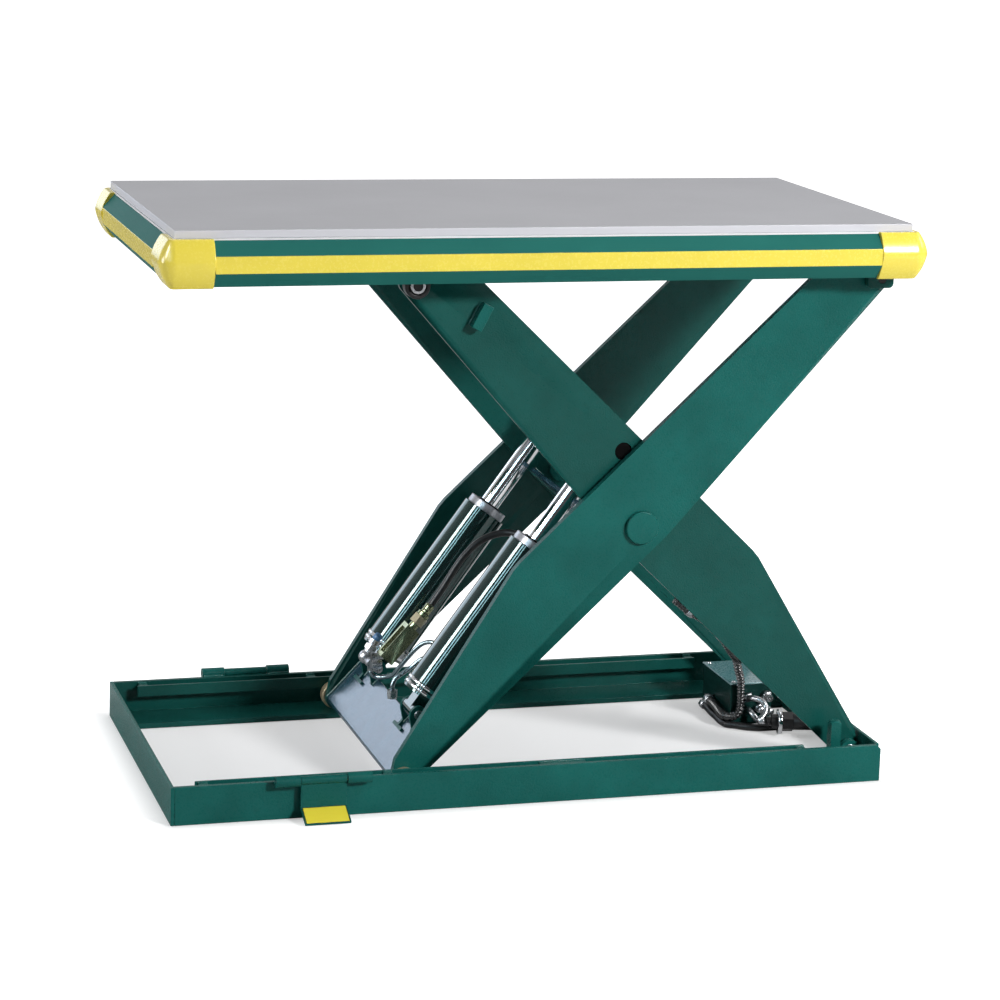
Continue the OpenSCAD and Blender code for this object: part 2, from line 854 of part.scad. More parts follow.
// Domed corner cap: two curves that meet upright a little proud of the bumper.
cap_proud = 3;
function bend(a, b, c, n) =
  [for (i = [0:n]) let (t = i / n) a * (1 - t) * (1 - t) + b * 2 * t * (1 - t) + c * t * t];
cap_section = let (
  out = bumper_d + cap_proud,
  low = bumper_z - 2,
  top = plate_z - 0.2,
  mid = (low + top) / 2 + 3)
  concat([[0, low]], bend([7, low], [out - 3.5, low + 18], [out, mid], 7),
    bend([out, mid], [out - 2.5, top - 17], [10, top], 7), [[0, top]]);
module corner_cap() {
  x = platform_l / 2;
  y = platform_w / 2;
  difference() {
    union() {
      translate([x, y, 0])
        rotate_extrude(angle = 90)
          polygon(cap_section);
      translate([x - cap_l, y, 0])
        rotate([90, 0, 90])
          linear_extrude(height = cap_l)
            polygon(cap_section);
      translate([x, y, 0])
        rotate([90, 0, 0])
          linear_extrude(height = cap_l)
            polygon(cap_section);
    }
    translate([0, 0, bumper_z - 10])
      cube([x, y, bumper_h + 30]);
  }
}
module corner_caps() {
  color(yellow)
    for (sx = [0, 1], sy = [0, 1])
      mirror([sx, 0, 0])
        mirror([0, sy, 0])
          corner_cap();
}

// ---- hydraulic cylinders ----

module barrel() {
  base_t = 27;
  bottom_t = 12;
  difference() {
    union() {
      translate([0, 0, base_t])
        cylinder(r = barrel_r, h = barrel_end - base_t);
      for (t = [base_t + 5, base_t + 14])
        translate([0, 0, t])
          cylinder(r = barrel_r + 1.5, h = 6);
      bar_y(0, 0, 14, -tongue_w / 2, tongue_w / 2);
      translate([-14, -15, 0])
        cube([28, 30, base_t + 1]);
    }
    translate([0, 0, base_t + bottom_t])
      cylinder(r = bore_r, h = barrel_end);
    bar_y(0, 0, 8 + run_fit, -tongue_w, tongue_w);
  }
}
module front_barrel() {
  color([0.16, 0.4, 0.37]) on_cylinder(-cylinder_y)
    barrel();
}
module rear_barrel() {
  color([0.16, 0.4, 0.37]) on_cylinder(cylinder_y)
    barrel();
}
module cylinder_glands() {
  plug = 20;
  color([0.75, 0.77, 0.8])
    for (y = [-cylinder_y, cylinder_y])
      on_cylinder(y)
        difference() {
          union() {
            translate([0, 0, barrel_end])
              cylinder(r = barrel_r - 4.5, h = gland_h);
            translate([0, 0, barrel_end - plug])
              cylinder(r = bore_r, h = plug + eps);
          }
          translate([0, 0, barrel_end - plug - 1])
            cylinder(r = rod_r + run_fit, h = plug + gland_h + 2);
        }
}
module piston_rod() {
  piston_low = 220;
  piston_h = 30;
  difference() {
    union() {
      translate([0, 0, piston_low])
        cylinder(r = bore_r - run_fit, h = piston_h);
      translate([0, 0, piston_low])
        cylinder(r = rod_r, h = reach - piston_low - eye_r + 6);
      bar_y(0, reach, eye_r, -eye_w / 2, eye_w / 2);
    }
    bar_y(0, reach, rod_shaft_r, -eye_w, eye_w);
  }
}
module front_piston_rod() {
  color(steel) on_cylinder(-cylinder_y)
    piston_rod();
}
module rear_piston_rod() {
  color(steel) on_cylinder(cylinder_y)
    piston_rod();
}
module rod_shaft() {
  end = inner_leg_y - leg_t - 1.3;
  color(steel)
    bar_y(upper_pin[0], upper_pin[2], rod_shaft_r, -end, end);
}

// Flow control valve between the barrels: block, neck and two nuts.
valve_at = [-184, 10, 167];
valve_lean = 42;
module flow_valve() {
  block_l = 72;
  half_w = 13.5;
  nut_t = 18;
  translate(valve_at)
    rotate([0, valve_lean, 0]) {
      color([0.5, 0.5, 0.28]) {
        translate([-half_w, -half_w, 0])
          cube([2 * half_w, 2 * half_w, block_l]);
        cylinder(r = 8, h = block_l + 8.5);
        translate([0, 0, block_l + 8 + nut_t])
          cylinder(r = 11, h = 6);
        translate([-half_w - 4, -3, 8])
          cube([5, 6, 56]);
      }
      color([0.8, 0.78, 0.6])
        translate([0, 0, block_l + 8])
          cylinder(r = 13, h = nut_t, $fn = 6);
    }
}
module valve_hose() {
  color([0.05, 0.05, 0.05])
    hose(valve_hose_route, 6.5, 10, 3);
}
module cylinder_tubes() {
  color(steel) {
    hose(cross_tube_route, 4, 10, 3);
    hose(near_tube_route, 4, 10, 3);
  }
}

// Pipe fittings that join the two barrels and carry the valve.
module cylinder_ports() {
  side = cylinder_y - barrel_r;
  tee = [-208, 46, 162];
  rear_port = [-139.6, side, 162];
  color(steel) {
    bar_y(rear_port[0], rear_port[2], 3.5, 97, side);
    hex_y(rear_port[0], rear_port[2], 9, 82, side - 1.7);
    bar_y(rear_port[0], rear_port[2], 6, 46, 83);
    bar_x(tee[0], rear_port[0], tee[1], tee[2], 6);
    translate([rear_port[0], tee[1], tee[2]])
      sphere(r = 9);
    translate(tee)
      sphere(r = 12);
    bar_y(tee[0], tee[2], 8, 32, 46);
    translate(tee)
      rotate([0, 30, 0]) {
        cylinder(r = 8, h = 34);
        translate([0, 0, 14])
          cylinder(r = 11, h = 9, $fn = 6);
        translate([0, 0, 26])
          cylinder(r = 10, h = 8);
      }
    bar_x(-206, -189, 10, 158, 8);
    translate([-206, 10, 158])
      rotate([-90, 0, 0])
        cylinder(r = 8, h = 36);
    translate([-204, 22, 144])
      cylinder(r = 6, h = 8);
    hex_y(-109.7, 203.4, 8, -side, -88);
    hex_y(-119.1, 190.4, 8, -side, -88);
    hex_y(6.3, 363.8, 9, -side, -88);
    translate([-187, -62, 118])
      cylinder(r = 8, h = 6);
    translate([-187, -62, 122])
      cylinder(r = 9, h = 11, $fn = 6);
  }
}

module front_prop() {
  color(paint)
    prop();
}
module rear_prop() {
  color(paint) mirror([0, 1, 0])
    prop();
}

front_base_rail();
rear_base_rail();
left_base_end();
right_base_end();
front_roller_guard();
rear_roller_guard();
front_hinge_bracket();
rear_hinge_bracket();
base_hinge_pins();
stop_posts();
prop_hinge_barrels();
prop_hinge_pins();
junction_box();
junction_box_lid();
box_screws();
cable_conduit();
return_hose();
base_coupling();
box_fittings();
front_inner_leg();
rear_inner_leg();
inner_torsion_plate();
leg_lug();
inner_leg_bushes();
platform_roller_shaft();
platform_roller_rings();
front_outer_leg();
rear_outer_leg();
cylinder_tray();
cylinder_clevises();
clevis_pins();
centre_pins();
outer_leg_bushes();
base_roller_shaft();
base_roller_rings();
front_base_roller();
rear_base_roller();
front_platform_roller();
rear_platform_roller();
platform_plate();
front_platform_rail();
rear_platform_rail();
platform_end_rails();
platform_hinge_ears();
platform_hinge_pins();
edge_bumpers();
bumper_bands();
corner_caps();
front_barrel();
rear_barrel();
cylinder_glands();
flow_valve();
valve_hose();
cylinder_tubes();
cylinder_ports();
front_piston_rod();
rear_piston_rod();
rod_shaft();
front_prop();
rear_prop();
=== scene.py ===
"""Looks of a scissor lift table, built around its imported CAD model. Metres, +Z up,
+X along the table towards its hinged end, origin on the floor under its middle."""

import math

import bmesh
import bpy
from mathutils import Matrix, Vector, noise


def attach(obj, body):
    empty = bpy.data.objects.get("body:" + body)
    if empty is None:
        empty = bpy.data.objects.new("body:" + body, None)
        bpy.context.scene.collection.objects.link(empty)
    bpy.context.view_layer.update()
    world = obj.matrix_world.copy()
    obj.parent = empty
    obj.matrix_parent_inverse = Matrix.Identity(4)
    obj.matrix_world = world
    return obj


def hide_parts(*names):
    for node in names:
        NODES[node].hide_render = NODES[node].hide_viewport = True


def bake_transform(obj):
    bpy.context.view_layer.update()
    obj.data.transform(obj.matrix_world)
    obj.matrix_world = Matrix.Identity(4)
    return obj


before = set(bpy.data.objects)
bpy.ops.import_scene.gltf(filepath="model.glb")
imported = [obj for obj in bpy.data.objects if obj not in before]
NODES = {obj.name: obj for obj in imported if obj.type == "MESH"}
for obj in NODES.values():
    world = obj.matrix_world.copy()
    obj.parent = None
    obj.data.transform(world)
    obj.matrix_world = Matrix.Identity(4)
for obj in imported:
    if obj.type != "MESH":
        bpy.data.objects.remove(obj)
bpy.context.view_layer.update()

# ---- sizes shared with the CAD model, in metres ----
HINGE = Vector((0.583, 0, 0.033))
PIN_SPAN = 1.145
RISE = 0.823
THETA = math.asin(RISE / PIN_SPAN)
RUN = PIN_SPAN * math.cos(THETA)
CENTRE = Vector((HINGE.x - RUN / 2, 0, HINGE.z + RISE / 2))
OUTER_Y = 0.240
INNER_Y = 0.221
LEG_T = 0.0127
ROD_LOW = Vector((-0.1695, 0, 0.1207))
ROD_TOP = Vector((0.155, 0, 0.5695))
CYLINDER_Y = 0.140
PLATE_Z = 0.9413
PLATFORM = Vector((0.6096, 0.3048, 0.954))
BUMPER_TOP = 0.9383
PROP_X = -0.363
PROP_Y = 0.3143
PROP_Z = 0.0665
PROP_HALF_W = 0.038
VALVE_AT = Vector((-0.184, 0.010, 0.167))
VALVE_LEAN = math.radians(42)
COUPLING_AT = (0.512, -0.020, 0.025)
COUPLING_TURN = math.radians(14)


# ---- camera and light ----

def camera_at(place, yaw, pitch, roll, lens):
    """A camera turned yaw to the right of +Y, pitch down and roll clockwise."""
    yaw, pitch, roll = (math.radians(a) for a in (yaw, pitch, roll))
    ahead = Vector((math.sin(yaw) * math.cos(pitch), math.cos(yaw) * math.cos(pitch),
                    -math.sin(pitch)))
    level = Vector((math.cos(yaw), -math.sin(yaw), 0))
    top = level.cross(ahead)
    right = level * math.cos(roll) + top * math.sin(roll)
    up = top * math.cos(roll) - level * math.sin(roll)
    data = bpy.data.cameras.new("camera")
    data.lens = lens
    data.sensor_width = 36
    data.clip_end = 200
    cam = bpy.data.objects.new("camera", data)
    turn = Matrix((right, up, -ahead)).transposed().to_4x4()
    cam.matrix_world = Matrix.Translation(place) @ turn
    bpy.context.scene.collection.objects.link(cam)
    bpy.context.scene.camera = cam


camera_at(place=(-1.4381, -4.8504, 1.6027), yaw=16.639, pitch=12.915, roll=1.792, lens=109.37)


def softbox(name, place, target, size, power):
    """A rectangular light of that size and power, aimed at target and not seen itself."""
    data = bpy.data.lights.new(name, "AREA")
    data.shape = "RECTANGLE"
    data.size, data.size_y = size
    data.energy = power
    lamp = bpy.data.objects.new(name, data)
    lamp.location = place
    lamp.rotation_euler = (Vector(target) - Vector(place)).to_track_quat("-Z", "Y").to_euler()
    lamp.visible_camera = False
    bpy.context.scene.collection.objects.link(lamp)
    return lamp


softbox("front_key", (2.5, -4.2, 2.7), (0, 0, 0.4), (0.8, 0.6), 240)
softbox("overhead", (0.3, 0.9, 4.4), (0, 0, 0.3), (3.4, 2.2), 40)
softbox("side_left", (-4.6, 0.2, 1.3), (0, 0, 0.7), (1.4, 1.4), 75)
softbox("side_right", (4.4, -1.0, 2.8), (0.2, 0, 0.5), (1.2, 1.6), 50)
glow = softbox("backdrop_glow", (-1.9, 3.9, 1.5), (-0.2, 0, 0.3), (2.4, 1.8), 24)
glow.data.color = (0.72, 0.84, 1.0)


def streak(name, place, width, power, colour=(1, 1, 1)):
    """A long strip set along the cylinders: it only draws lines on polished parts."""
    aim, length = Vector((-0.05, 0, 0.3)), 2.2
    lamp = softbox(name, place, aim, (width, length), power)
    lamp.data.color = colour
    ahead = (aim - Vector(place)).normalized()
    along = (ROD_TOP - ROD_LOW).normalized()
    along = (along - ahead * along.dot(ahead)).normalized()
    turn = Matrix((along.cross(-ahead), along, -ahead)).transposed()
    lamp.rotation_euler = turn.to_euler()
    lamp.visible_diffuse = False


streak("white_streak", (-4.15, -1.3, 3.25), 1.1, 170)
streak("blue_streak", (-3.6, -2.8, 2.9), 0.4, 34, (0.62, 0.86, 1.0))
streak("thin_streak", (-3.05, -3.65, 2.5), 0.3, 20, (0.62, 0.90, 1.0))


def world_light():
    """White for the camera, and for all else a studio that gets brighter towards +Y."""
    world = bpy.data.worlds.new("studio")
    world.use_nodes = True
    bpy.context.scene.world = world
    n, link = world.node_tree.nodes, world.node_tree.links
    n.clear()
    out = n.new("ShaderNodeOutputWorld")
    seen = n.new("ShaderNodeBackground")
    seen.inputs["Color"].default_value = (1, 1, 1, 1)
    seen.inputs["Strength"].default_value = 1.05
    room = n.new("ShaderNodeBackground")
    room.inputs["Strength"].default_value = 0.54
    ray = n.new("ShaderNodeLightPath")
    mix = n.new("ShaderNodeMixShader")
    place = n.new("ShaderNodeTexCoord")
    split = n.new("ShaderNodeSeparateXYZ")
    ramp = n.new("ShaderNodeValToRGB")
    ramp.color_ramp.elements[0].position = 0.22
    ramp.color_ramp.elements[0].color = (0.12, 0.125, 0.13, 1)
    ramp.color_ramp.elements[1].position = 0.85
    ramp.color_ramp.elements[1].color = (1, 1, 1, 1)
    scale = n.new("ShaderNodeMath")
    scale.operation = "MULTIPLY_ADD"
    scale.inputs[1].default_value = 0.5
    scale.inputs[2].default_value = 0.5
    link.new(place.outputs["Generated"], split.inputs[0])
    link.new(split.outputs["Y"], scale.inputs[0])
    link.new(scale.outputs[0], ramp.inputs["Fac"])
    link.new(ramp.outputs["Color"], room.inputs["Color"])
    link.new(ray.outputs["Is Camera Ray"], mix.inputs["Fac"])
    link.new(room.outputs[0], mix.inputs[1])
    link.new(seen.outputs[0], mix.inputs[2])
    link.new(mix.outputs[0], out.inputs["Surface"])


world_light()
bpy.context.scene.view_settings.view_transform = "Standard"


# ---- materials ----

def shader(name, colour, rough, metal=0.0, coat=0.0, spec=0.5, shift=0.06, shift_scale=9.0,
           grain=0.0, grain_scale=400.0, grain_rough=0.0, dirt=0.0, coat_rough=0.06):
    """A Principled material in object space: slow colour drift, fine bump, patchy gloss."""
    mat = bpy.data.materials.new(name)
    mat.use_nodes = True
    n, link = mat.node_tree.nodes, mat.node_tree.links
    bsdf = n["Principled BSDF"]
    bsdf.inputs["Metallic"].default_value = metal
    bsdf.inputs["Specular IOR Level"].default_value = spec
    bsdf.inputs["Coat Weight"].default_value = coat
    bsdf.inputs["Coat Roughness"].default_value = coat_rough
    place = n.new("ShaderNodeTexCoord")

    def cloud(scale, detail, rough_in):
        tex = n.new("ShaderNodeTexNoise")
        tex.inputs["Scale"].default_value = scale
        tex.inputs["Detail"].default_value = detail
        tex.inputs["Roughness"].default_value = rough_in
        link.new(place.outputs["Object"], tex.inputs["Vector"])
        return tex

    slow = cloud(shift_scale, 4, 0.55)
    ramp = n.new("ShaderNodeValToRGB")
    ramp.color_ramp.elements[0].position = 0.3
    ramp.color_ramp.elements[1].position = 0.7
    ramp.color_ramp.elements[0].color = tuple(c * (1 - shift) for c in colour) + (1,)
    ramp.color_ramp.elements[1].color = tuple(min(1, c * (1 + shift)) for c in colour) + (1,)
    link.new(slow.outputs["Fac"], ramp.inputs["Fac"])
    tint = ramp.outputs["Color"]
    if dirt:
        patch = cloud(shift_scale * 4.5, 6, 0.7)
        edge = n.new("ShaderNodeValToRGB")
        edge.color_ramp.elements[0].position = 0.52
        edge.color_ramp.elements[1].position = 0.78
        mix = n.new("ShaderNodeMixRGB")
        mix.inputs["Color2"].default_value = tuple(c * (1 - dirt) for c in colour) + (1,)
        link.new(patch.outputs["Fac"], edge.inputs["Fac"])
        link.new(edge.outputs["Color"], mix.inputs["Fac"])
        link.new(tint, mix.inputs["Color1"])
        tint = mix.outputs["Color"]
    link.new(tint, bsdf.inputs["Base Color"])
    fine = cloud(grain_scale, 3, 0.6)
    gloss = n.new("ShaderNodeMapRange")
    gloss.inputs["From Min"].default_value = 0.3
    gloss.inputs["From Max"].default_value = 0.7
    gloss.inputs["To Min"].default_value = max(0.02, rough - 0.04 - grain_rough)
    gloss.inputs["To Max"].default_value = min(1, rough + 0.04 + grain_rough)
    link.new(fine.outputs["Fac"], gloss.inputs["Value"])
    link.new(gloss.outputs["Result"], bsdf.inputs["Roughness"])
    if grain:
        bump = n.new("ShaderNodeBump")
        bump.inputs["Distance"].default_value = 0.001
        bump.inputs["Strength"].default_value = grain
        link.new(fine.outputs["Fac"], bump.inputs["Height"])
        link.new(bump.outputs["Normal"], bsdf.inputs["Normal"])
        if coat:
            link.new(bump.outputs["Normal"], bsdf.inputs["Coat Normal"])
    return mat


def turned(name, colour, rough, axis, metal=1.0):
    """Metal with fine lathe lines round its axis."""
    mat = shader(name, colour, rough, metal=metal, shift=0.08, shift_scale=30)
    n, link = mat.node_tree.nodes, mat.node_tree.links
    place = n.new("ShaderNodeTexCoord")
    lines = n.new("ShaderNodeTexWave")
    lines.bands_direction = axis
    lines.inputs["Scale"].default_value = 420
    lines.inputs["Distortion"].default_value = 1.5
    bump = n.new("ShaderNodeBump")
    bump.inputs["Distance"].default_value = 0.0005
    bump.inputs["Strength"].default_value = 0.12
    link.new(place.outputs["Object"], lines.inputs["Vector"])
    link.new(lines.outputs["Fac"], bump.inputs["Height"])
    link.new(bump.outputs["Normal"], n["Principled BSDF"].inputs["Normal"])
    return mat


GREEN = (0.008, 0.108, 0.094)
MATS = {
    "green": shader("green_paint", GREEN, 0.30, coat=0.07, coat_rough=0.10, shift=0.16,
                    spec=0.10, grain=0.42, grain_scale=330, grain_rough=0.03, dirt=0.10),
    # shade: painted shade, a darker copy of the leg paint for the parts that sit in shadow
    "shade": shader("painted_shade_green_paint", (0.006, 0.076, 0.065), 0.30, coat=0.10, spec=0.14,
                    coat_rough=0.12, shift=0.16, grain=0.42, grain_scale=330, dirt=0.12),
    # far: painted shade, a near-black copy of the leg paint
    "far": shader("painted_deep_shade_green", (0.005, 0.032, 0.028), 0.32, coat=0.10, spec=0.12,
                  coat_rough=0.12, shift=0.16, grain=0.42, grain_scale=330, dirt=0.12),
    # hole: painted shade, the black of the discs that darken the leg bores
    "hole": shader("bore_shade_black", (0.003, 0.003, 0.003), 0.7, spec=0.05, shift=0.1),
    "tube": shader("oiled_steel", (0.24, 0.31, 0.34), 0.22, metal=0.95, shift=0.12,
                   shift_scale=50),
    "tray": shader("tray_paint", (0.035, 0.10, 0.125), 0.24, coat=0.72, coat_rough=0.17,
                   shift=0.25, shift_scale=26, grain=0.42, grain_scale=240, dirt=0.2),
    # inside: painted shade, a darker copy of the leg paint for the platform's rails under the
    # plate; its patches are dirt
    "inside": shader("painted_shade_inside_paint", (0.010, 0.07, 0.06), 0.34, coat=0.1, coat_rough=0.15,
                     spec=0.2, shift=0.2, grain=0.35, grain_scale=300, dirt=0.2),
    "grey": shader("platform_paint", (0.40, 0.40, 0.425), 0.52, shift=0.035, shift_scale=5,
                   grain=0.10, grain_scale=600, coat=0.15, coat_rough=0.35),
    "barrel": shader("barrel_paint", (0.007, 0.048, 0.044), 0.10, metal=0.45, coat=1.0,
                     coat_rough=0.03, shift=0.1, grain=0.05, grain_scale=120),
    "lid": shader("lid_paint", (0.10, 0.23, 0.25), 0.28, coat=0.6, shift=0.1, grain=0.15,
                  grain_scale=260),
    "chrome": shader("rod_chrome", (0.86, 0.87, 0.89), 0.06, metal=1.0, shift=0.03),
    "steel": turned("turned_steel", (0.55, 0.56, 0.58), 0.28, "Y"),
    "tan": shader("roller_steel", (0.52, 0.42, 0.27), 0.36, metal=0.6, shift=0.15,
                  shift_scale=60, grain=0.1, grain_scale=500),
    "bronze": shader("bush_bronze", (0.45, 0.30, 0.12), 0.35, metal=1.0, shift=0.1),
    "brass": shader("zinc_brass", (0.30, 0.32, 0.19), 0.22, metal=0.9, shift=0.16,
                    shift_scale=45, grain=0.08, grain_scale=260),
    "beige": shader("beige_nut", (0.62, 0.56, 0.38), 0.3, metal=0.4, shift=0.06),
    "ribs": shader("ribbed_black", (0.016, 0.016, 0.017), 0.24, coat=0.9, coat_rough=0.12,
                   shift=0.2, shift_scale=60),
    "rubber": shader("black_hose", (0.012, 0.012, 0.013), 0.36, shift=0.2, shift_scale=60,
                     grain=0.25, grain_scale=900),
    "yellow": shader("yellow_plastic", (0.82, 0.675, 0.08), 0.26, coat=0.2, shift=0.025,
                     shift_scale=14, grain=0.02, grain_scale=240),
    "bumper": shader("bumper_plastic", (0.020, 0.140, 0.12), 0.5, spec=0.03, shift=0.05,
                     grain=0.06, grain_scale=240),
    "gland": shader("gland_grey", (0.52, 0.53, 0.57), 0.3, metal=0.4, shift=0.05),
    "dark": shader("black_oxide", (0.012, 0.012, 0.013), 0.35, metal=0.3, shift=0.1, grain=0.1),
    "bead": shader("weld_paint", (0.014, 0.125, 0.11), 0.22, coat=0.3, shift=0.2,
                   shift_scale=120, grain=0.3, grain_scale=420),
    "lip": shader("bumper_lip", (0.80, 0.79, 0.80), 0.4, shift=0.02),
    "label": shader("label_yellow", (0.84, 0.72, 0.05), 0.4, shift=0.03, coat=0.3),
    "blue": shader("blue_cap", (0.10, 0.28, 0.55), 0.4, shift=0.05),
    "floor": shader("floor_paper", (0.62, 0.62, 0.625), 0.85, shift=0.006, shift_scale=1.5,
                    spec=0.1),
}


def painted_light_sides(mat, colour):
    """Painted highlight: the plate's side faces get a paler colour than its top, for the light
    that falls on its edges.
    """
    n, link = mat.node_tree.nodes, mat.node_tree.links
    bsdf = n["Principled BSDF"]
    top = bsdf.inputs["Base Color"].links[0].from_socket
    facing = n.new("ShaderNodeNewGeometry")
    split = n.new("ShaderNodeSeparateXYZ")
    step = n.new("ShaderNodeMapRange")
    step.inputs["From Min"].default_value = 0.55
    step.inputs["From Max"].default_value = 0.9
    mix = n.new("ShaderNodeMixRGB")
    mix.inputs["Color1"].default_value = colour + (1,)
    link.new(facing.outputs["Normal"], split.inputs[0])
    link.new(split.outputs["Z"], step.inputs["Value"])
    link.new(step.outputs["Result"], mix.inputs["Fac"])
    link.new(top, mix.inputs["Color2"])
    link.new(mix.outputs["Color"], bsdf.inputs["Base Color"])


MATS["tray"].node_tree.nodes["Principled BSDF"].inputs["Coat Tint"].default_value = (
    0.80, 0.86, 1.0, 1.0)
# painted highlight: the paler grey of the plate's side faces
painted_light_sides(MATS["grey"], (0.58, 0.58, 0.62))


# ---- finish of the CAD pieces ----

def soften(name, mat, width=0.0010):
    """Rounds a CAD piece's edges a little and gives it its paint."""
    obj = NODES[name]
    obj.data.materials.clear()
    obj.data.materials.append(MATS[mat])
    obj.data.polygons.foreach_set("use_smooth", [True] * len(obj.data.polygons))
    weld = obj.modifiers.new("weld", "WELD")
    weld.merge_threshold = 0.00002
    flat = obj.modifiers.new("flat", "DECIMATE")
    flat.decimate_type = "DISSOLVE"
    flat.angle_limit = math.radians(0.8)
    if width:
        bevel = obj.modifiers.new("edges", "BEVEL")
        bevel.width = width
        bevel.segments = 2
        bevel.limit_method = "ANGLE"
        bevel.angle_limit = math.radians(38)
        bevel.miter_outer = "MITER_ARC"
        bevel.harden_normals = False
    normals = obj.modifiers.new("normals", "WEIGHTED_NORMAL")
    normals.keep_sharp = True
    normals.weight = 60


FINISH = {
    "green": ["front_base_rail", "left_base_end", "right_base_end", "front_roller_guard",
              "front_hinge_bracket", "rear_hinge_bracket", "stop_posts",
              "prop_hinge_barrels", "leg_lug", "front_outer_leg", "centre_pins",
              "front_prop", "rear_prop", "cylinder_clevises"],
    # painted shade: these legs, the rear rail and guard and the hinge ears take the darker copy
    # of the paint
    "shade": ["front_inner_leg", "rear_inner_leg", "rear_outer_leg", "rear_base_rail",
              "rear_roller_guard", "platform_hinge_ears"],
    # painted shade: the junction box takes the near-black copy of the paint for the deep shadow
    # on it
    "far": ["junction_box"],
    # painted shade: the platform's rails take the darker copy of the paint
    "inside": ["front_platform_rail", "rear_platform_rail", "platform_end_rails"],
    "tray": ["cylinder_tray", "inner_torsion_plate"],
    "grey": ["platform_plate"],
    "barrel": ["front_barrel", "rear_barrel"],
    "lid": ["junction_box_lid"],
    "chrome": ["front_piston_rod", "rear_piston_rod"],
    "gland": ["cylinder_glands"],
    # the rod shaft and the platform rollers take black oxide partly as painted shade: the shaft
    # so the bores read black, the rollers for the shadow under the platform
    "dark": ["base_coupling", "rod_shaft", "platform_hinge_pins", "front_platform_roller",
             "rear_platform_roller", "platform_roller_shaft"],
    "steel": ["base_hinge_pins", "prop_hinge_pins", "box_screws",
              "platform_roller_rings", "clevis_pins", "base_roller_shaft",
              "base_roller_rings", "cylinder_ports", "box_fittings", "cylinder_tubes"],
    "tan": ["front_base_roller", "rear_base_roller"],
    "bronze": ["inner_leg_bushes", "outer_leg_bushes"],
    "brass": ["flow_valve"],
    "rubber": ["cable_conduit", "return_hose", "valve_hose"],
    "yellow": ["bumper_bands", "corner_caps"],
    "bumper": ["edge_bumpers"],
}
# Edge widths of the nodes that don't take the usual one.
EDGES = {"box_screws": 0.0003, "prop_hinge_pins": 0.0005, "platform_roller_rings": 0.0003,
         "base_roller_rings": 0.0003, "junction_box": 0.0007, "cylinder_ports": 0.0006,
         "box_fittings": 0, "flow_valve": 0.0007, "base_coupling": 0.0006, "cable_conduit": 0,
         "return_hose": 0, "valve_hose": 0, "cylinder_tubes": 0, "bumper_bands": 0.0006,
         "corner_caps": 0.0012, "platform_plate": 0.0014, "front_barrel": 0.0012,
         "rear_barrel": 0.0012, "inner_leg_bushes": 0.0003, "outer_leg_bushes": 0.0003}
for mat_name, names in FINISH.items():
    for node_name in names:
        soften(node_name, mat_name, EDGES.get(node_name, 0.0010))


# ---- building blocks ----

def add(name, bm, mat, body, smooth=True, replaces=()):
    """Makes a piece of the object from a bmesh and rides it on a CAD body."""
    mesh = bpy.data.meshes.new(name)
    bmesh.ops.recalc_face_normals(bm, faces=bm.faces)
    bm.to_mesh(mesh)
    bm.free()
    mesh.materials.append(MATS[mat])
    mesh.polygons.foreach_set("use_smooth", [smooth] * len(mesh.polygons))
    obj = bpy.data.objects.new(name, mesh)
    bpy.context.scene.collection.objects.link(obj)
    if body:
        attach(obj, body)
    if replaces:
        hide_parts(*replaces)
    return obj


def curve_through(points, step):
    """Evenly spaced points on a smooth curve through the given ones."""
    pts = [Vector(p) for p in points]
    dense = []
    for i in range(len(pts) - 1):
        a, b = pts[max(i - 1, 0)], pts[i]
        c, d = pts[i + 1], pts[min(i + 2, len(pts) - 1)]
        for k in range(24):
            t = k / 24
            dense.append(0.5 * (2 * b + (c - a) * t + (2 * a - 5 * b + 4 * c - d) * t * t
                                + (3 * b - a - 3 * c + d) * t ** 3))
    dense.append(pts[-1])
    out, gone = [dense[0]], 0.0
    for a, b in zip(dense, dense[1:]):
        gap = (b - a).length
        while gap > 1e-9 and gone + gap >= step:
            a = a + (b - a) * ((step - gone) / gap)
            out.append(a)
            gap = (b - a).length
            gone = 0.0
        gone += gap
    if (out[-1] - pts[-1]).length > step * 0.3:
        out.append(pts[-1])
    return out


def tube(bm, points, radius, step=0.004, sides=16, smooth=True):
    """Sweeps a ring along a route; radius is a number or a function of distance."""
    path = curve_through(points, step) if smooth else [Vector(p) for p in points]
    ahead = (path[1] - path[0]).normalized()
    side = ahead.cross(Vector((0, 1, 0)) if abs(ahead.y) < 0.9 else Vector((1, 0, 0)))
    side.normalize()
    rings, gone = [], 0.0
    for i, p in enumerate(path):
        ahead = (path[min(i + 1, len(path) - 1)] - path[max(i - 1, 0)]).normalized()
        side = (side - ahead * side.dot(ahead)).normalized()
        up = ahead.cross(side)
        r = radius(gone) if callable(radius) else radius
        rings.append([bm.verts.new(p + r * (math.cos(a) * side + math.sin(a) * up))
                      for a in (2 * math.pi * k / sides for k in range(sides))])
        if i + 1 < len(path):
            gone += (path[i + 1] - p).length
    for one, two in zip(rings, rings[1:]):
        for k in range(sides):
            bm.faces.new((one[k], one[(k + 1) % sides], two[(k + 1) % sides], two[k]))
    bm.faces.new(rings[0][::-1])
    bm.faces.new(rings[-1])


def bead(bm, a, b, r=0.0024):
    """A weld bead from a to b with small uneven ripples."""
    a, b = Vector(a), Vector(b)
    count = max(3, int((b - a).length / 0.0016))
    path = [a + (b - a) * (i / count) for i in range(count + 1)]
    path = [p + 0.0003 * Vector(noise.noise_vector(p * 160)) for p in path]

    def ripple(d):
        uneven = noise.noise(a * 9 + Vector((d * 150, 0, 0)))
        return r * (1 + 0.10 * math.sin(d * 1900) + 0.16 * uneven)

    tube(bm, path, ripple, sides=8, smooth=False)


